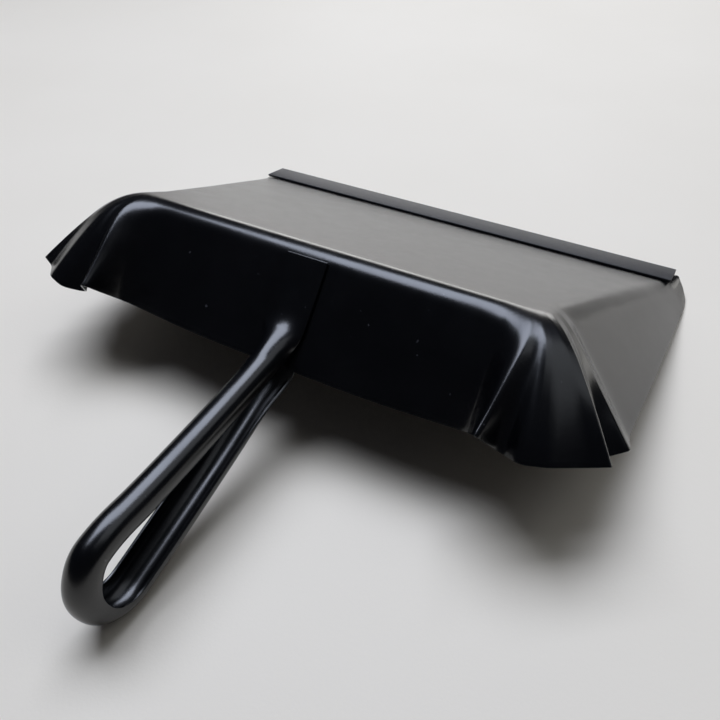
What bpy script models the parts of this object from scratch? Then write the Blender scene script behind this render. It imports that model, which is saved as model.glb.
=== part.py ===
"""Pressed steel dust pan with a rolled loop handle and a rubber lip.

Sizes are in millimetres in the pan's own frame, turned into metres at the end.
The pan's own frame: X across the pan, Y from the back wall towards the front lip,
Z out of the underside of the floor. The origin is the middle of the back fold.
The finished pan is then laid face down on a table, on the loop of its handle and
on the front corners of its side walls.
"""
import math

import bmesh
import bpy
from mathutils import Vector

MM = 0.001

# sheet metal of the pan
SHEET = 0.8
FLOOR_BACK_HALF = 88.0
FLOOR_FRONT_HALF = 120.0
FLOOR_DEPTH = 150.4
RIM_HALF = 127.0
BACK_WALL_DEPTH = 44.6
BACK_WALL_LEAN = 14.8
FOLD_REACH = 6.5
SPOON_START = 138.0
SPOON_BLEND = 4.0
SPOON_ANGLE = math.radians(14.0)

# strip of the handle
STRIP = 1.2
TAB_HALF_WIDTH = 9.0
STRIP_HALF_WIDTH = 12.0
TUBE_HALF_WRAP = math.radians(122.0)
CHANNEL_HALF_WRAP = math.radians(95.0)
WELD_GAP = 0.45

# rubber lip
LIP_HALF_LENGTH = 117.6
LIP_WIDTH = 15.8
LIP_WALL = 1.0
LIP_GAP = 0.6

# the pan lies on a table with its underside up
REST_TILT = math.radians(24.45)


def clear_scene():
    for item in list(bpy.data.objects):
        bpy.data.objects.remove(item, do_unlink=True)


def lay_down(point):
    """From the pan's own frame in millimetres to the table's frame in metres."""
    x, y, z = point
    turn_cos = math.cos(REST_TILT)
    turn_sin = math.sin(REST_TILT)
    return Vector((x, turn_cos * y + turn_sin * z, -turn_sin * y + turn_cos * z)) * MM


def mix(one, other, share):
    return tuple(a + (b - a) * share for a, b in zip(one, other))


def straight(start, end, spacing):
    """Points from start to end, without the start itself."""
    count = max(1, round(math.dist(start, end) / spacing))
    return [mix(start, end, step / count) for step in range(1, count + 1)]


def rounded_path(corners, softness, spacing, bend_steps):
    """A polyline with each inner corner rounded.

    softness is the share of its two neighbouring legs that a corner is cut back.
    """
    walked = [corners[0]]
    for before, here, after, soft in zip(corners, corners[1:], corners[2:], softness):
        start = mix(here, before, soft)
        end = mix(here, after, soft)
        if math.dist(walked[-1], start) > 0.2:
            walked += straight(walked[-1], start, spacing)
        for step in range(1, bend_steps + 1):
            share = step / bend_steps
            walked.append(mix(mix(start, here, share), mix(here, end, share), share))
    return walked + straight(walked[-1], corners[-1], spacing)


def spoon_lift(y):
    """The front of the floor is dished towards the ground in use."""
    reach = max(0.0, y - SPOON_START)
    slope = math.tan(SPOON_ANGLE)
    if reach < SPOON_BLEND:
        return 0.5 * slope * reach * reach / SPOON_BLEND
    return slope * (reach - 0.5 * SPOON_BLEND)


def side_fold(y):
    """Half width of the floor at a distance from the back fold."""
    return FLOOR_BACK_HALF + (FLOOR_FRONT_HALF - FLOOR_BACK_HALF) * y / FLOOR_DEPTH


def skirt_stations():
    """Half of the wall: edge of the floor, fold, rim, press, dome, flare, softness.

    The press is how far the sheet is pushed in at the rim to make a pleat, the
    dome how far the middle of the wall bulges, the flare how far the rim turns out.
    """
    none = (0.0, 0.0, 0.0)
    back = [
        ((0.0, 6.5), (0.0, 0.0, 0.0), (0.0, -14.8, -44.6), none, 0.0, 0.0, 0.0),
        ((40.0, 6.5), (40.0, 0.0, 0.0), (40.0, -14.4, -44.6), none, 0.0, 0.0, 0.4),
    ]
    corner = [
        ((72.0, 6.5), (75.0, 0.0, 0.0), (79.0, -11.5, -43.6), (0.0, 4.0, -2.0), 0.0, 0.0, 0.25),
        ((80.5, 6.2), (89.0, -4.0, -1.4), (84.8, -30.5, -35.5), none, 0.8, 2.0, 0.30),
        ((83.0, 6.4), (92.0, -3.5, -1.9), (92.0, -20.5, -42.0), (-2.0, 8.0, -5.0), 1.0, 0.0, 0.35),
        ((84.0, 6.6), (93.5, -3.3, -2.0), (100.0, -26.5, -41.0), (-1.0, 2.0, -1.5), 1.4, 0.0, 0.35),
        ((85.0, 7.0), (95.0, -3.0, -2.1), (109.0, -25.0, -39.0), (0.0, -1.0, -0.5), 1.0, 0.0, 0.25),
        ((86.5, 8.2), (97.0, -1.5, -2.1), (119.0, -15.5, -38.5), (-1.0, 2.5, -2.0), 1.0, 0.0, 0.25),
        ((87.4, 10.4), (98.0, 0.5, -1.9), (126.0, -13.8, -36.0), none, 0.8, 0.0, 0.16),
        ((87.6, 13.5), (96.8, 6.0, -1.7), (121.0, -1.0, -40.0), (-5.0, 2.4, -3.0), 0.4, 0.0, 0.25),
        ((87.6, 17.5), (96.2, 10.5, -0.9), (128.6, 4.5, -36.0), none, 0.2, 0.0, 0.16),
        ((87.4, 24.0), (93.6, 19.0, 0.0), (126.5, 13.0, -34.6), none, 0.0, 0.0, 0.22),
    ]
    side = []
    for fold_y in (60.0, 100.0, 128.0):
        rim_y = fold_y - 6.0 + 2.5 * fold_y / FLOOR_DEPTH
        rim_z = -34.6 + 0.187 * (rim_y - 13.0)
        side.append(((side_fold(fold_y) - FOLD_REACH, fold_y + 1.5),
                     (side_fold(fold_y), fold_y, 0.0), (RIM_HALF, rim_y, rim_z),
                     none, 0.0, 0.2, 0.3))
    front = []
    for fold_y, reach, rim in (
        (136.0, 5.5, (127.0, 132.5, -12.0)),
        (140.0, 4.5, (127.0, 139.5, -10.4)),
        (144.5, 3.5, (126.2, 146.0, -7.4)),
        (148.0, 2.5, (123.5, 149.8, -2.6)),
        (150.0, 2.0, (120.6, 150.3, 1.2)),
    ):
        front.append(((side_fold(fold_y) - reach, fold_y + 0.4), (side_fold(fold_y), fold_y, 0.0),
                      rim, none, 0.0, 0.3 if fold_y < 147.0 else 0.0, 0.35))
    return back + corner + side + front


WALL_ROWS = 5
FOLD_ROWS = 4
PLEAT_GROWTH = 1.8


def wall_point(fold_point, rim_point, press, dome, flare, share):
    """A point of the wall and its direction, at a share of the way to the rim."""
    fall = Vector(rim_point) - Vector(fold_point)
    line = fall.normalized()
    proud = (Vector((0.0, 0.0, 1.0)) - line * line.z).normalized()
    press = Vector(press)
    turned = max(0.0, (share - 0.6) / 0.4)
    place = (Vector(fold_point) + (fall - press) * share + press * share ** PLEAT_GROWTH
             + proud * (4.0 * dome * share * (1.0 - share) + flare * turned * turned))
    heading = ((fall - press) + press * (PLEAT_GROWTH * share ** (PLEAT_GROWTH - 1.0))
               + proud * (4.0 * dome * (1.0 - 2.0 * share)))
    return place, heading


def skirt_section(row):
    """One line down the wall: rim, wall, rounded fold, edge of the floor."""
    fold_point, rim_point, press = row[2:5], row[5:8], row[8:11]
    dome, flare = row[11:13]
    fold_point = (fold_point[0], fold_point[1], fold_point[2] + spoon_lift(fold_point[1]))
    floor_point = (row[0], row[1], spoon_lift(row[1]))
    reach = math.dist(floor_point, fold_point)
    top = min(0.45, reach / math.dist(rim_point, fold_point))
    section = []
    for step in range(WALL_ROWS + 1):
        share = 1.0 + (top - 1.0) * step / WALL_ROWS
        section.append(tuple(wall_point(fold_point, rim_point, press, dome, flare, share)[0]))
    wall_top, heading = wall_point(fold_point, rim_point, press, dome, flare, top)
    knee = wall_top - heading * top
    shelf = mix(floor_point, tuple(knee), 0.6)
    shelf = (shelf[0], shelf[1], floor_point[2])
    brow = mix(tuple(wall_top), tuple(knee), 0.75)
    for step in range(1, FOLD_ROWS + 1):
        share = step / FOLD_ROWS
        outer = mix(mix(tuple(wall_top), brow, share), mix(brow, shelf, share), share)
        inner = mix(mix(brow, shelf, share), mix(shelf, floor_point, share), share)
        section.append(mix(outer, inner, share))
    return section


def add_mesh(name, corners, faces):
    mesh = bpy.data.meshes.new(name)
    mesh.from_pydata([lay_down(corner) for corner in corners], [], faces)
    mesh.update()
    item = bpy.data.objects.new(name, mesh)
    bpy.context.scene.collection.objects.link(item)
    return item


def give_material(item, name, colour, metallic, roughness):
    material = bpy.data.materials.new(name)
    material.use_nodes = True
    shader = material.node_tree.nodes["Principled BSDF"]
    shader.inputs["Base Color"].default_value = (*colour, 1.0)
    shader.inputs["Metallic"].default_value = metallic
    shader.inputs["Roughness"].default_value = roughness
    item.data.materials.append(material)


def shade(item, angle):
    """Smooth shading, with the edges sharper than the angle kept crisp."""
    shape = bmesh.new()
    shape.from_mesh(item.data)
    for face in shape.faces:
        face.smooth = True
    for edge in shape.edges:
        if len(edge.link_faces) == 2 and edge.calc_face_angle() > angle:
            edge.smooth = False
    shape.to_mesh(item.data)
    shape.free()


def make_pan_body():
    stations = skirt_stations()
    flat = [floor + fold + rim + press + (dome, flare)
            for floor, fold, rim, press, dome, flare, soft in stations]
    softness = [station[-1] for station in stations[1:-1]]
    half = rounded_path(flat, softness, 14.0, 4)
    half_sections = [skirt_section(row) for row in half]
    first_side = next(index for index, row in enumerate(half) if row[1] > 24.0)

    # right half backwards, then the left half as its mirror image
    sections = half_sections[::-1]
    sections += [[(-x, y, z) for x, y, z in section] for section in half_sections[1:]]
    rows = len(sections[0])
    corners = [point for section in sections for point in section]
    faces = []
    for column in range(len(sections) - 1):
        for row in range(rows - 1):
            start = column * rows + row
            faces.append((start, start + 1, start + rows + 1, start + rows))

    # the floor: strips across from side to side, then one flat sheet at the back
    last = len(sections) - 1
    floor_edge = [column * rows + rows - 1 for column in range(len(sections))]
    side_count = len(half) - first_side
    for column in range(side_count - 1):
        faces.append((floor_edge[column], floor_edge[last - column],
                      floor_edge[last - column - 1], floor_edge[column + 1]))
    faces.append(floor_edge[side_count - 1:last - side_count + 2][::-1])
    item = add_mesh("pan_body", corners, faces)

    shape = bmesh.new()
    shape.from_mesh(item.data)
    bmesh.ops.recalc_face_normals(shape, faces=shape.faces)
    floor_face = max(shape.faces, key=lambda face: face.calc_area())
    if floor_face.normal.z < 0.0:
        bmesh.ops.reverse_faces(shape, faces=shape.faces)
    shape.to_mesh(item.data)
    shape.free()
    thickness = item.modifiers.new("sheet", "SOLIDIFY")
    thickness.thickness = SHEET * MM
    thickness.offset = -1.0
    thickness.use_even_offset = False
    shade(item, math.radians(40.0))
    give_material(item, "enamelled_steel", (0.012, 0.012, 0.014), 0.0, 0.28)
    return item


def wall_frame(drop):
    """Point on the outside of the back wall, a distance down from the fold."""
    slope = math.hypot(BACK_WALL_LEAN, BACK_WALL_DEPTH)
    return (-BACK_WALL_LEAN * drop / slope, -BACK_WALL_DEPTH * drop / slope)


def handle_stations():
    """Crown of the strip in the middle plane (y, z), half width and half wrap.

    It starts flat on the outside of the back wall, rolls up into the upper arm,
    turns round in the loop, opens out into the lower arm and ends flat on the
    inside of the back wall.
    """
    slope = math.hypot(BACK_WALL_LEAN, BACK_WALL_DEPTH)
    out_y = -BACK_WALL_DEPTH / slope
    out_z = BACK_WALL_LEAN / slope
    outside = WELD_GAP + STRIP
    inside = -(SHEET + WELD_GAP + STRIP)

    def on_wall(drop, shift):
        y, z = wall_frame(drop)
        return (y + out_y * shift, z + out_z * shift)

    tube = STRIP_HALF_WIDTH
    wide = TAB_HALF_WIDTH
    full = TUBE_HALF_WRAP
    half = CHANNEL_HALF_WRAP
    flat = math.radians(0.5)
    return [
        (*on_wall(4.3, outside), wide, flat),
        (*on_wall(17.0, outside), wide, flat),
        (*on_wall(30.0, outside + 1.0), wide, math.radians(12.0)),
        (-19.2, -33.6, 10.3, math.radians(86.0)),
        (-26.5, -39.8, tube, full),
        (-56.0, -55.5, tube, full),
        (-83.0, -69.0, tube, full),
        (-97.2, -74.8, tube, full),
        (-107.9, -83.2, tube, math.radians(118.0)),
        (-109.2, -99.8, tube, math.radians(108.0)),
        (-98.6, -113.0, tube, math.radians(100.0)),
        (-83.5, -114.2, tube, math.radians(98.0)),
        (-70.0, -103.2, tube, half),
        (-38.0, -76.3, tube, half),
        (-23.0, -62.0, 10.8, math.radians(80.0)),
        (-10.4, -49.2, wide, math.radians(30.0)),
        (*on_wall(37.0, inside - 0.5), wide, math.radians(3.0)),
        (*on_wall(16.0, inside), wide, flat),
    ]


def make_handle():
    stations = handle_stations()
    softness = [0.4] * 6 + [0.48] * 5 + [0.4] * 5
    path = rounded_path(stations, softness, 5.0, 4)
    across = 14
    corners = []
    for index, (y, z, half_width, wrap) in enumerate(path):
        before = path[max(0, index - 1)]
        after = path[min(len(path) - 1, index + 1)]
        run = Vector((0.0, after[0] - before[0], after[1] - before[1])).normalized()
        crown = run.cross(Vector((1.0, 0.0, 0.0)))
        radius = half_width / wrap
        for side in (0.0, -1.0):
            for step in range(across + 1):
                turn = wrap * (2.0 * step / across - 1.0)
                reach = radius + side * STRIP
                x = reach * math.sin(turn)
                rise = reach * math.cos(turn) - radius
                corners.append((x, y + crown.y * rise, z + crown.z * rise))
    ring = 2 * (across + 1)
    loop = list(range(across + 1)) + list(range(ring - 1, across, -1))
    faces = []
    for index in range(len(path) - 1):
        base = index * ring
        for one, other in zip(loop, loop[1:] + loop[:1]):
            faces.append((base + one, base + other, base + ring + other, base + ring + one))
    for step in range(across):
        faces.append((step, across + 1 + step, across + 2 + step, step + 1))
        base = (len(path) - 1) * ring
        faces.append((base + step, base + step + 1, base + across + 2 + step,
                      base + across + 1 + step))
    item = add_mesh("handle", corners, faces)
    shape = bmesh.new()
    shape.from_mesh(item.data)
    bmesh.ops.recalc_face_normals(shape, faces=shape.faces)
    shape.to_mesh(item.data)
    shape.free()
    shade(item, math.radians(50.0))
    give_material(item, "enamelled_strip", (0.012, 0.012, 0.014), 0.0, 0.28)
    return item


def make_rubber_lip():
    """A clip pushed on the dished front edge, with a thin blade beyond it."""
    slope = Vector((0.0, math.cos(SPOON_ANGLE), math.sin(SPOON_ANGLE)))
    normal = Vector((0.0, -math.sin(SPOON_ANGLE), math.cos(SPOON_ANGLE)))
    edge = Vector((0.0, FLOOR_DEPTH, spoon_lift(FLOOR_DEPTH)))
    top = LIP_GAP + LIP_WALL
    under = -(SHEET + LIP_GAP + LIP_WALL)
    back = 4.4 - LIP_WIDTH
    # along the slope from the sheet's edge, and out of the sheet's outer face
    profile = [
        (back, LIP_GAP),
        (back, top),
        (3.4, top),
        (4.4, top - 0.5),
        (4.4, -0.2),
        (2.6, under),
        (back + 5.0, under),
        (back + 5.0, -(SHEET + LIP_GAP)),
        (LIP_GAP, -(SHEET + LIP_GAP)),
        (LIP_GAP, LIP_GAP),
    ]
    corners = []
    for x in (-LIP_HALF_LENGTH, LIP_HALF_LENGTH):
        for along, out in profile:
            place = edge + slope * along + normal * out
            corners.append((x, place.y, place.z))
    count = len(profile)
    faces = [list(range(count)), list(range(2 * count - 1, count - 1, -1))]
    for index in range(count):
        after = (index + 1) % count
        faces.append((index, index + count, after + count, after))
    item = add_mesh("rubber_lip", corners, faces)
    shape = bmesh.new()
    shape.from_mesh(item.data)
    bmesh.ops.recalc_face_normals(shape, faces=shape.faces)
    shape.to_mesh(item.data)
    shape.free()
    give_material(item, "black_rubber", (0.02, 0.02, 0.02), 0.0, 0.6)
    return item


def set_on_table(items):
    """Move the pan so that it touches the table at zero and is centred over the origin."""
    bpy.context.view_layer.update()
    graph = bpy.context.evaluated_depsgraph_get()
    points = []
    for item in items:
        shape = item.evaluated_get(graph).to_mesh()
        points += [corner.co.copy() for corner in shape.vertices]
    lowest = min(point.z for point in points)
    middle = 0.5 * (min(point.y for point in points) + max(point.y for point in points))
    for item in items:
        for corner in item.data.vertices:
            corner.co.y -= middle
            corner.co.z -= lowest


clear_scene()
PIECES = [make_pan_body(), make_handle(), make_rubber_lip()]
set_on_table(PIECES)
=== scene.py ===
"""Black pressed steel dust pan with a rolled loop handle and a rubber lip, face down on a table."""
import math

import bmesh
import bpy
from mathutils import Matrix, Vector


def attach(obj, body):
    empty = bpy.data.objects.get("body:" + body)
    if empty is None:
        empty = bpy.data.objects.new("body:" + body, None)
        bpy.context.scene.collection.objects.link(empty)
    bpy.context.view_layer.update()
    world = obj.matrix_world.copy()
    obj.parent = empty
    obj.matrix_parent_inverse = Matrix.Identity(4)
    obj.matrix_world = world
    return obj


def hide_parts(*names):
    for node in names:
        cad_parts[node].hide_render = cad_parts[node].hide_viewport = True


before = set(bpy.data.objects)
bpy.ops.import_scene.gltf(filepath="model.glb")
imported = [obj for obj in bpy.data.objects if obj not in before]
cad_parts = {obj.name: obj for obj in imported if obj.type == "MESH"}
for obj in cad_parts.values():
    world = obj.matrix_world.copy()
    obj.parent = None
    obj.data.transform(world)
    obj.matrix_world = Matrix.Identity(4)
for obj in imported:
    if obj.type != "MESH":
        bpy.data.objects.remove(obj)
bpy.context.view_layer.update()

bpy.ops.object.select_all(action="DESELECT")

# ---------------------------------------------------------------------------
# Table and camera.
# The pan lies face down on a pale, matt, faintly dusty table top and is looked
# at from behind and above its right back corner.
# ---------------------------------------------------------------------------


def link(tree, start, socket, end, target):
    """Wire one node's output to another's input."""
    tree.links.new(start.outputs[socket], end.inputs[target])


def fresh_material(name):
    """An empty material: its node tree and its shader."""
    material = bpy.data.materials.new(name)
    material.use_nodes = True
    tree = material.node_tree
    tree.nodes.clear()
    output = tree.nodes.new("ShaderNodeOutputMaterial")
    shader = tree.nodes.new("ShaderNodeBsdfPrincipled")
    link(tree, shader, "BSDF", output, "Surface")
    return material, tree, shader


def noise(tree, scale, detail, roughness):
    """Noise over the piece's own place, in metres."""
    place = tree.nodes.new("ShaderNodeTexCoord")
    cloud = tree.nodes.new("ShaderNodeTexNoise")
    cloud.inputs["Scale"].default_value = scale
    cloud.inputs["Detail"].default_value = detail
    cloud.inputs["Roughness"].default_value = roughness
    link(tree, place, "Object", cloud, "Vector")
    return cloud


def colour_ramp(tree, source, socket, low, low_colour, high, high_colour):
    """Blend between two colours as a value goes from low to high."""
    mixer = tree.nodes.new("ShaderNodeValToRGB")
    mixer.color_ramp.elements[0].position = low
    mixer.color_ramp.elements[0].color = (*low_colour, 1.0)
    mixer.color_ramp.elements[1].position = high
    mixer.color_ramp.elements[1].color = (*high_colour, 1.0)
    link(tree, source, socket, mixer, "Fac")
    return mixer


def bump(tree, shader, layers):
    """Stack bumps, each a height source with its strength and depth in metres."""
    last = None
    for source, socket, strength, depth in layers:
        layer = tree.nodes.new("ShaderNodeBump")
        layer.inputs["Strength"].default_value = strength
        layer.inputs["Distance"].default_value = depth
        link(tree, source, socket, layer, "Height")
        if last:
            link(tree, last, "Normal", layer, "Normal")
        last = layer
    link(tree, last, "Normal", shader, "Normal")


def table_material():
    """Pale warm matt board with a faint cloudiness and a fine grain."""
    material, tree, shader = fresh_material("pale_table_top")
    cloud = noise(tree, 6.0, 3.0, 0.5)
    tint = colour_ramp(tree, cloud, "Fac", 0.35, (0.84, 0.765, 0.635), 0.65, (0.86, 0.785, 0.655))
    link(tree, tint, "Color", shader, "Base Color")
    shader.inputs["Roughness"].default_value = 0.62
    grain = noise(tree, 900.0, 3.0, 0.6)
    bump(tree, shader, [(grain, "Fac", 0.15, 0.0003)])
    return material


TABLE_SIZE = 8.0
TABLE_DROP = 0.0004
bpy.ops.mesh.primitive_plane_add(size=TABLE_SIZE, location=(0.0, 0.0, -TABLE_DROP))
table = bpy.context.object
table.name = "table_top"
bpy.ops.object.transform_apply(location=True, rotation=True, scale=True)
table.data.materials.append(table_material())

camera_data = bpy.data.cameras.new("camera")
camera_data.sensor_width = 36.0
camera_data.lens = 36.0
camera_data.clip_start = 0.01
camera = bpy.data.objects.new("camera", camera_data)
bpy.context.scene.collection.objects.link(camera)
camera_right = Vector((0.8672, 0.4974, -0.0245))
camera_ahead = Vector((-0.3855, 0.6393, -0.6653))
camera_up = camera_right.cross(camera_ahead)
turn = Matrix((camera_right, camera_up, -camera_ahead)).transposed()
camera.matrix_world = Matrix.Translation((0.13329, -0.19075, 0.21561)) @ turn.to_4x4()
bpy.context.scene.camera = camera
bpy.context.scene.view_settings.view_transform = "Standard"

# ---------------------------------------------------------------------------
# Light.
# A cool skylight overhead, two low windows and a pale wall beyond the far side,
# and a faint ceiling to the right. The near side of the room is dim.
# ---------------------------------------------------------------------------


def soft_light(name, place, aim, width, height, power, colour):
    """A rectangle of even light, in metres and watts, turned to face its aim."""
    data = bpy.data.lights.new(name, "AREA")
    data.shape = "RECTANGLE"
    data.size = width
    data.size_y = height
    data.energy = power
    data.color = colour
    item = bpy.data.objects.new(name, data)
    bpy.context.scene.collection.objects.link(item)
    item.location = place
    item.rotation_euler = (Vector(aim) - Vector(place)).to_track_quat("-Z", "Y").to_euler()


soft_light("skylight", (-0.34, 0.40, 1.5), (0.0, 0.0, 0.0), 1.45, 0.95, 28.5, (0.76, 0.83, 1.0))
soft_light("window", (-0.75, 2.3, 0.33), (0.0, 0.03, 0.0), 1.9, 0.62, 11.8, (1.0, 0.99, 0.98))
soft_light("side_window", (1.53, 1.95, 0.33), (0.0, 0.03, 0.0), 1.3, 0.62, 5.0, (1.0, 0.98, 0.94))
soft_light("far_wall", (-0.4, 2.75, 0.38), (0.0, 0.03, 0.0), 3.6, 0.7, 3.2, (1.0, 0.98, 0.94))
soft_light("ceiling", (0.95, 0.45, 1.5), (0.0, 0.0, 0.0), 1.2, 1.2, 3.4, (0.88, 0.93, 1.0))

world = bpy.data.worlds.new("room")
world.use_nodes = True
world.node_tree.nodes["Background"].inputs["Color"].default_value = (0.022, 0.023, 0.028, 1.0)
world.node_tree.nodes["Background"].inputs["Strength"].default_value = 1.0
bpy.context.scene.world = world

# ---------------------------------------------------------------------------
# Pan body.
# One steel sheet, pressed to a wide flat floor with a leaning back wall and two
# flared sides; the sheet is gathered into pleats at the back corners. Dipped in
# satin black enamel, with the cut rim left square and thinly coated.
# ---------------------------------------------------------------------------

MM = 0.001
SHEET = 0.8
REST_TILT = math.radians(24.45)
SLIDE_BACK = -0.001585
LIFT = 0.067986


def lay_down(point):
    """From the pan's own frame in millimetres to its place on the table in metres."""
    x, y, z = point
    along = math.cos(REST_TILT) * y + math.sin(REST_TILT) * z
    up = math.cos(REST_TILT) * z - math.sin(REST_TILT) * y
    return Vector((x * MM, along * MM + SLIDE_BACK, up * MM + LIFT))


def mix(one, other, share):
    """A point, or any row of numbers, at a share of the way between two others."""
    return tuple(a + (b - a) * share for a, b in zip(one, other))


def straight(start, end, spacing):
    """Points from start to end, without the start itself."""
    count = max(1, round(math.dist(start, end) / spacing))
    return [mix(start, end, step / count) for step in range(1, count + 1)]


def rounded_path(corners, softness, spacing, bend_steps):
    """A polyline whose inner corners are cut back by a share of each leg and rounded."""
    walked = [corners[0]]
    for before, here, after, soft in zip(corners, corners[1:], corners[2:], softness):
        start = mix(here, before, soft)
        end = mix(here, after, soft)
        if math.dist(walked[-1], start) > 0.2:
            walked += straight(walked[-1], start, spacing)
        for step in range(1, bend_steps + 1):
            share = step / bend_steps
            walked.append(mix(mix(start, here, share), mix(here, end, share), share))
    return walked + straight(walked[-1], corners[-1], spacing)


FLOOR_BACK_HALF = 88.0
FLOOR_FRONT_HALF = 120.0
FLOOR_DEPTH = 150.4
RIM_HALF = 127.0
BACK_WALL_DEPTH = 44.6
BACK_WALL_LEAN = 14.8
FOLD_REACH = 6.5
FIRST_SIDE_Y = 24.0
SPOON_START = 138.0
SPOON_BLEND = 4.0
SPOON_ANGLE = math.radians(14.0)


def spoon_lift(y):
    """The front of the floor is dished towards the ground in use."""
    reach = max(0.0, y - SPOON_START)
    slope = math.tan(SPOON_ANGLE)
    if reach < SPOON_BLEND:
        return 0.5 * slope * reach * reach / SPOON_BLEND
    return slope * (reach - 0.5 * SPOON_BLEND)


def side_fold(y):
    """Half width of the floor at a distance from the back fold."""
    return FLOOR_BACK_HALF + (FLOOR_FRONT_HALF - FLOOR_BACK_HALF) * y / FLOOR_DEPTH


def skirt_stations():
    """Half of the wall: floor's edge, fold, rim, press, dome, flare, softness, in mm.

    The press is how far the sheet is pushed in at the rim to make a pleat, the
    dome how far the middle of the wall bulges, the flare how far the rim turns out.
    """
    none = (0.0, 0.0, 0.0)
    back = [
        ((0.0, 6.5), (0.0, 0.0, 0.0), (0.0, -14.8, -44.6), none, 0.0, 0.0, 0.0),
        ((40.0, 6.5), (40.0, 0.0, 0.0), (40.0, -14.4, -44.6), none, 0.0, 0.0, 0.4),
    ]
    corner = [
        ((72.0, 6.5), (75.0, 0.0, 0.0), (79.0, -11.5, -43.6), (0.0, 4.0, -2.0), 0.0, 0.0, 0.25),
        ((80.5, 6.2), (89.0, -4.0, -1.4), (84.8, -30.5, -35.5), none, 0.8, 2.0, 0.30),
        ((83.0, 6.4), (92.0, -3.5, -1.9), (92.0, -20.5, -42.0), (-2.0, 8.0, -5.0), 1.0, 0.0, 0.35),
        ((84.0, 6.6), (93.5, -3.3, -2.0), (100.0, -26.5, -41.0), (-1.0, 2.0, -1.5), 1.4, 0.0, 0.35),
        ((85.0, 7.0), (95.0, -3.0, -2.1), (109.0, -25.0, -39.0), (0.0, -1.0, -0.5), 1.0, 0.0, 0.25),
        ((86.5, 8.2), (97.0, -1.5, -2.1), (119.0, -15.5, -38.5), (-1.0, 2.5, -2.0), 1.0, 0.0, 0.25),
        ((87.4, 10.4), (98.0, 0.5, -1.9), (126.0, -13.8, -36.0), none, 0.8, 0.0, 0.16),
        ((87.6, 13.5), (96.8, 6.0, -1.7), (121.0, -1.0, -40.0), (-5.0, 2.4, -3.0), 0.4, 0.0, 0.25),
        ((87.6, 17.5), (96.2, 10.5, -0.9), (128.6, 4.5, -36.0), none, 0.2, 0.0, 0.16),
        ((87.4, 24.0), (93.6, 19.0, 0.0), (126.5, 13.0, -34.6), none, 0.0, 0.0, 0.22),
    ]
    side = []
    for fold_y in (60.0, 100.0, 128.0):
        rim_y = fold_y - 6.0 + 2.5 * fold_y / FLOOR_DEPTH
        rim_z = -34.6 + 0.187 * (rim_y - 13.0)
        side.append(((side_fold(fold_y) - FOLD_REACH, fold_y + 1.5),
                     (side_fold(fold_y), fold_y, 0.0), (RIM_HALF, rim_y, rim_z),
                     none, 0.0, 0.2, 0.3))
    front = []
    for fold_y, reach, rim in (
        (136.0, 5.5, (127.0, 132.5, -12.0)),
        (140.0, 4.5, (127.0, 139.5, -10.4)),
        (144.5, 3.5, (126.2, 146.0, -7.4)),
        (148.0, 2.5, (123.5, 149.8, -2.6)),
        (150.0, 2.0, (120.6, 150.3, 1.2)),
    ):
        front.append(((side_fold(fold_y) - reach, fold_y + 0.4), (side_fold(fold_y), fold_y, 0.0),
                      rim, none, 0.0, 0.3 if fold_y < 147.0 else 0.0, 0.35))
    return back + corner + side + front


WALL_ROWS = 16
FOLD_ROWS = 12
PLEAT_GROWTH = 1.8


def wall_point(fold_point, rim_point, press, dome, flare, share):
    """A point of the wall and its direction, at a share of the way to the rim."""
    fall = Vector(rim_point) - Vector(fold_point)
    line = fall.normalized()
    proud = (Vector((0.0, 0.0, 1.0)) - line * line.z).normalized()
    press = Vector(press)
    turned = max(0.0, (share - 0.6) / 0.4)
    place = (Vector(fold_point) + (fall - press) * share + press * share ** PLEAT_GROWTH
             + proud * (4.0 * dome * share * (1.0 - share) + flare * turned * turned))
    heading = ((fall - press) + press * (PLEAT_GROWTH * share ** (PLEAT_GROWTH - 1.0))
               + proud * (4.0 * dome * (1.0 - 2.0 * share)))
    return place, heading


def skirt_section(row):
    """One line down the wall: rim, wall, rounded fold, edge of the floor."""
    fold_point, rim_point, press = row[2:5], row[5:8], row[8:11]
    dome, flare = row[11:13]
    fold_point = (fold_point[0], fold_point[1], fold_point[2] + spoon_lift(fold_point[1]))
    floor_point = (row[0], row[1], spoon_lift(row[1]))
    reach = math.dist(floor_point, fold_point)
    top = min(0.45, reach / math.dist(rim_point, fold_point))
    section = []
    for step in range(WALL_ROWS + 1):
        share = 1.0 + (top - 1.0) * step / WALL_ROWS
        section.append(tuple(wall_point(fold_point, rim_point, press, dome, flare, share)[0]))
    wall_top, heading = wall_point(fold_point, rim_point, press, dome, flare, top)
    knee = wall_top - heading * top
    shelf = mix(floor_point, tuple(knee), 0.6)
    shelf = (shelf[0], shelf[1], floor_point[2])
    brow = mix(tuple(wall_top), tuple(knee), 0.75)
    for step in range(1, FOLD_ROWS + 1):
        share = step / FOLD_ROWS
        outer = mix(mix(tuple(wall_top), brow, share), mix(brow, shelf, share), share)
        inner = mix(mix(brow, shelf, share), mix(shelf, floor_point, share), share)
        section.append(mix(outer, inner, share))
    return section


def ramp(tree, source, socket, low, high, low_value, high_value):
    """Map a value from one range to another."""
    change = tree.nodes.new("ShaderNodeMapRange")
    change.inputs["From Min"].default_value = low
    change.inputs["From Max"].default_value = high
    change.inputs["To Min"].default_value = low_value
    change.inputs["To Max"].default_value = high_value
    link(tree, source, socket, change, "Value")
    return change


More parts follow.
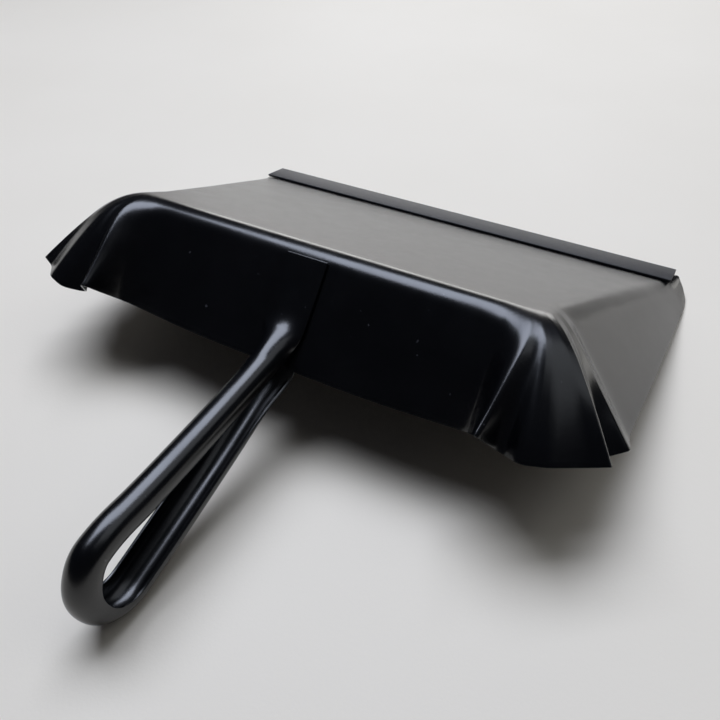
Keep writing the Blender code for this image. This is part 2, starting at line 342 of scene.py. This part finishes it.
def enamel(name):
    """Satin black stoving enamel: fine orange peel, a few dust nibs, slightly uneven gloss."""
    material, tree, shader = fresh_material(name)
    dust = noise(tree, 420.0, 1.0, 0.4)
    tint = colour_ramp(tree, dust, "Fac", 0.78, (0.0006, 0.0008, 0.0014), 0.82, (0.04, 0.04, 0.045))
    link(tree, tint, "Color", shader, "Base Color")
    shader.inputs["IOR"].default_value = 1.6
    gloss = noise(tree, 55.0, 4.0, 0.55)
    uneven = ramp(tree, gloss, "Fac", 0.3, 0.7, 0.20, 0.27)
    link(tree, uneven, "Result", shader, "Roughness")
    peel = noise(tree, 900.0, 2.0, 0.5)
    grit = noise(tree, 3200.0, 2.0, 0.6)
    bump(tree, shader, [(peel, "Fac", 0.03, 0.0004), (grit, "Fac", 0.05, 0.0002)])
    return material


def finish_sheet(item, thickness, edge_round):
    """Give a formed skin its thickness inwards and ease its cut edges."""
    bpy.context.view_layer.objects.active = item
    wall = item.modifiers.new("sheet", "SOLIDIFY")
    wall.thickness = thickness * MM
    wall.offset = -1.0
    wall.use_even_offset = False
    bpy.ops.object.modifier_apply(modifier="sheet")
    ease = item.modifiers.new("edge", "BEVEL")
    ease.width = edge_round * MM
    ease.segments = 3
    ease.limit_method = "ANGLE"
    ease.angle_limit = math.radians(60.0)
    bpy.ops.object.modifier_apply(modifier="edge")


PAN_EDGE_ROUND = 0.36


def make_pan_body():
    """The wall's lines from side to side as one skin, closed with the floor and thickened."""
    stations = skirt_stations()
    flat = [floor + fold + rim + press + (dome, flare)
            for floor, fold, rim, press, dome, flare, soft in stations]
    softness = [station[-1] for station in stations[1:-1]]
    half = rounded_path(flat, softness, 4.0, 10)
    half_sections = [skirt_section(row) for row in half]
    first_side = next(index for index, row in enumerate(half) if row[1] > FIRST_SIDE_Y)
    sections = half_sections[::-1]
    sections += [[(-x, y, z) for x, y, z in section] for section in half_sections[1:]]
    rows = len(sections[0])

    bpy.ops.mesh.primitive_grid_add(x_subdivisions=rows - 1,
                                    y_subdivisions=len(sections) - 1, size=1.0)
    item = bpy.context.object
    item.name = "pan_sheet"
    for index, corner in enumerate(item.data.vertices):
        corner.co = lay_down(sections[index // rows][index % rows])
    item.location = (0.0, 0.0, 0.0)

    shape = bmesh.new()
    shape.from_mesh(item.data)
    shape.verts.ensure_lookup_table()
    last = len(sections) - 1
    edge = [shape.verts[column * rows + rows - 1] for column in range(len(sections))]
    side_count = len(half) - first_side
    for column in range(side_count - 1):
        shape.faces.new((edge[column], edge[last - column],
                         edge[last - column - 1], edge[column + 1]))
    shape.faces.new(edge[side_count - 1:last - side_count + 2])
    bmesh.ops.recalc_face_normals(shape, faces=shape.faces)
    floor_face = max(shape.faces, key=lambda face: face.calc_area())
    if floor_face.normal.z < 0.0:
        bmesh.ops.reverse_faces(shape, faces=shape.faces)
    shape.to_mesh(item.data)
    shape.free()
    finish_sheet(item, SHEET, PAN_EDGE_ROUND)
    bpy.ops.object.shade_smooth_by_angle(angle=math.radians(35.0))
    item.data.materials.append(enamel("pan_enamel"))
    return item


pan = make_pan_body()
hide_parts("pan_body")
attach(pan, "root")

# ---------------------------------------------------------------------------
# Handle.
# One steel strip, rolled up into an almost closed tube for the grip, turned
# round into a hanging loop and opened out into a channel below. Its two flat
# ends are spot welded to the outside and the inside of the back wall.
# ---------------------------------------------------------------------------

bpy.ops.object.select_all(action="DESELECT")
STRIP = 1.2
STRIP_EDGE_ROUND = 0.35
TAB_HALF_WIDTH = 9.0
STRIP_HALF_WIDTH = 12.0
TUBE_HALF_WRAP = math.radians(122.0)
CHANNEL_HALF_WRAP = math.radians(95.0)
WELD_GAP = 0.1


def on_back_wall(drop, shift):
    """Place (y, z) on the back wall, down from the fold and out from its face."""
    slope = math.hypot(BACK_WALL_LEAN, BACK_WALL_DEPTH)
    y = (-BACK_WALL_LEAN * drop - BACK_WALL_DEPTH * shift) / slope
    z = (-BACK_WALL_DEPTH * drop + BACK_WALL_LEAN * shift) / slope
    return (y, z)


def handle_stations():
    """Crown of the strip (y, z), its half width and its half wrap, along the strip."""
    outside = WELD_GAP + STRIP
    inside = -(SHEET + WELD_GAP + STRIP)
    tube = STRIP_HALF_WIDTH
    wide = TAB_HALF_WIDTH
    full = TUBE_HALF_WRAP
    half = CHANNEL_HALF_WRAP
    flat = math.radians(0.5)
    return [
        (*on_back_wall(4.3, outside), wide, flat),
        (*on_back_wall(17.0, outside), wide, flat),
        (*on_back_wall(30.0, outside + 1.0), wide, math.radians(12.0)),
        (-19.2, -33.6, 10.3, math.radians(86.0)),
        (-26.5, -39.8, tube, full),
        (-56.0, -55.5, tube, full),
        (-83.0, -69.0, tube, full),
        (-97.2, -74.8, tube, full),
        (-107.9, -83.2, tube, math.radians(118.0)),
        (-109.2, -99.8, tube, math.radians(108.0)),
        (-98.6, -113.0, tube, math.radians(100.0)),
        (-83.5, -114.2, tube, math.radians(98.0)),
        (-70.0, -103.2, tube, half),
        (-38.0, -76.3, tube, half),
        (-23.0, -62.0, 10.8, math.radians(80.0)),
        (-10.4, -49.2, wide, math.radians(30.0)),
        (*on_back_wall(37.0, inside - 0.5), wide, math.radians(3.0)),
        (*on_back_wall(16.0, inside), wide, flat),
    ]


def make_handle():
    """Sweep the strip's arc along its crown line, flat at the tabs and rolled between."""
    softness = [0.4] * 6 + [0.48] * 5 + [0.4] * 5
    path = rounded_path(handle_stations(), softness, 1.6, 12)
    across = 40
    bpy.ops.mesh.primitive_grid_add(x_subdivisions=across, y_subdivisions=len(path) - 1, size=1.0)
    item = bpy.context.object
    item.name = "handle_strip"
    for index, (y, z, half_width, wrap) in enumerate(path):
        before = path[max(0, index - 1)]
        after = path[min(len(path) - 1, index + 1)]
        run = Vector((0.0, after[0] - before[0], after[1] - before[1])).normalized()
        crown = run.cross(Vector((1.0, 0.0, 0.0)))
        radius = half_width / wrap
        for step in range(across + 1):
            turn = wrap * (2.0 * step / across - 1.0)
            rise = radius * (math.cos(turn) - 1.0)
            place = (radius * math.sin(turn), y + crown.y * rise, z + crown.z * rise)
            item.data.vertices[index * (across + 1) + step].co = lay_down(place)
    bpy.ops.object.mode_set(mode="EDIT")
    bpy.ops.mesh.select_all(action="SELECT")
    bpy.ops.mesh.flip_normals()
    bpy.ops.object.mode_set(mode="OBJECT")
    finish_sheet(item, STRIP, STRIP_EDGE_ROUND)
    bpy.ops.object.shade_smooth_by_angle(angle=math.radians(50.0))
    item.data.materials.append(enamel("handle_enamel"))
    return item


handle = make_handle()
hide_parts("handle")
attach(handle, "root")

# ---------------------------------------------------------------------------
# Rubber lip.
# A black rubber extrusion gripping the front edge of the sheet: a flat clip on
# both faces of the sheet and a thin blade beyond it that meets the floor.
# ---------------------------------------------------------------------------

bpy.ops.object.select_all(action="DESELECT")
LIP_HALF_LENGTH = 117.6
LIP_WIDTH = 15.8
LIP_WALL = 1.1
LIP_GAP = 0.35
LIP_EDGE_ROUND = 0.25


def rubber():
    """Matt black rubber with a fine even tooth."""
    material, tree, shader = fresh_material("lip_rubber")
    cloud = noise(tree, 300.0, 4.0, 0.6)
    tint = colour_ramp(tree, cloud, "Fac", 0.3, (0.014, 0.014, 0.016), 0.7, (0.024, 0.024, 0.027))
    link(tree, tint, "Color", shader, "Base Color")
    shader.inputs["Roughness"].default_value = 0.5
    bump(tree, shader, [(noise(tree, 2500.0, 3.0, 0.6), "Fac", 0.2, 0.0002)])
    return material


def make_lip():
    """The clip's outline at one end, extruded across the whole front edge."""
    slope = Vector((0.0, math.cos(SPOON_ANGLE), math.sin(SPOON_ANGLE)))
    normal = Vector((0.0, -math.sin(SPOON_ANGLE), math.cos(SPOON_ANGLE)))
    edge = Vector((0.0, FLOOR_DEPTH, spoon_lift(FLOOR_DEPTH)))
    top = LIP_GAP + LIP_WALL
    under = -(SHEET + LIP_GAP + LIP_WALL)
    back = 4.4 - LIP_WIDTH
    profile = [
        (back, LIP_GAP),
        (back, top),
        (3.4, top),
        (4.4, top - 0.5),
        (4.4, -0.2),
        (2.6, under),
        (back + 5.0, under),
        (back + 5.0, -(SHEET + LIP_GAP)),
        (LIP_GAP, -(SHEET + LIP_GAP)),
        (LIP_GAP, LIP_GAP),
    ]
    bpy.ops.mesh.primitive_circle_add(vertices=len(profile), radius=0.01, fill_type="NGON")
    item = bpy.context.object
    item.name = "lip_extrusion"
    for corner, (along, out) in zip(item.data.vertices, profile):
        place = edge + slope * along + normal * out
        corner.co = lay_down((-LIP_HALF_LENGTH, place.y, place.z))
    bpy.ops.object.mode_set(mode="EDIT")
    bpy.ops.mesh.select_all(action="SELECT")
    bpy.ops.mesh.extrude_region_move(
        TRANSFORM_OT_translate={"value": (2.0 * LIP_HALF_LENGTH * MM, 0.0, 0.0)})
    bpy.ops.mesh.select_all(action="SELECT")
    bpy.ops.mesh.normals_make_consistent(inside=False)
    bpy.ops.object.mode_set(mode="OBJECT")
    ease = item.modifiers.new("edge", "BEVEL")
    ease.width = LIP_EDGE_ROUND * MM
    ease.segments = 3
    ease.limit_method = "ANGLE"
    ease.angle_limit = math.radians(25.0)
    bpy.ops.object.modifier_apply(modifier="edge")
    bpy.ops.object.shade_smooth_by_angle(angle=math.radians(40.0))
    item.data.materials.append(rubber())
    return item


lip = make_lip()
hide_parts("rubber_lip")
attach(lip, "root")
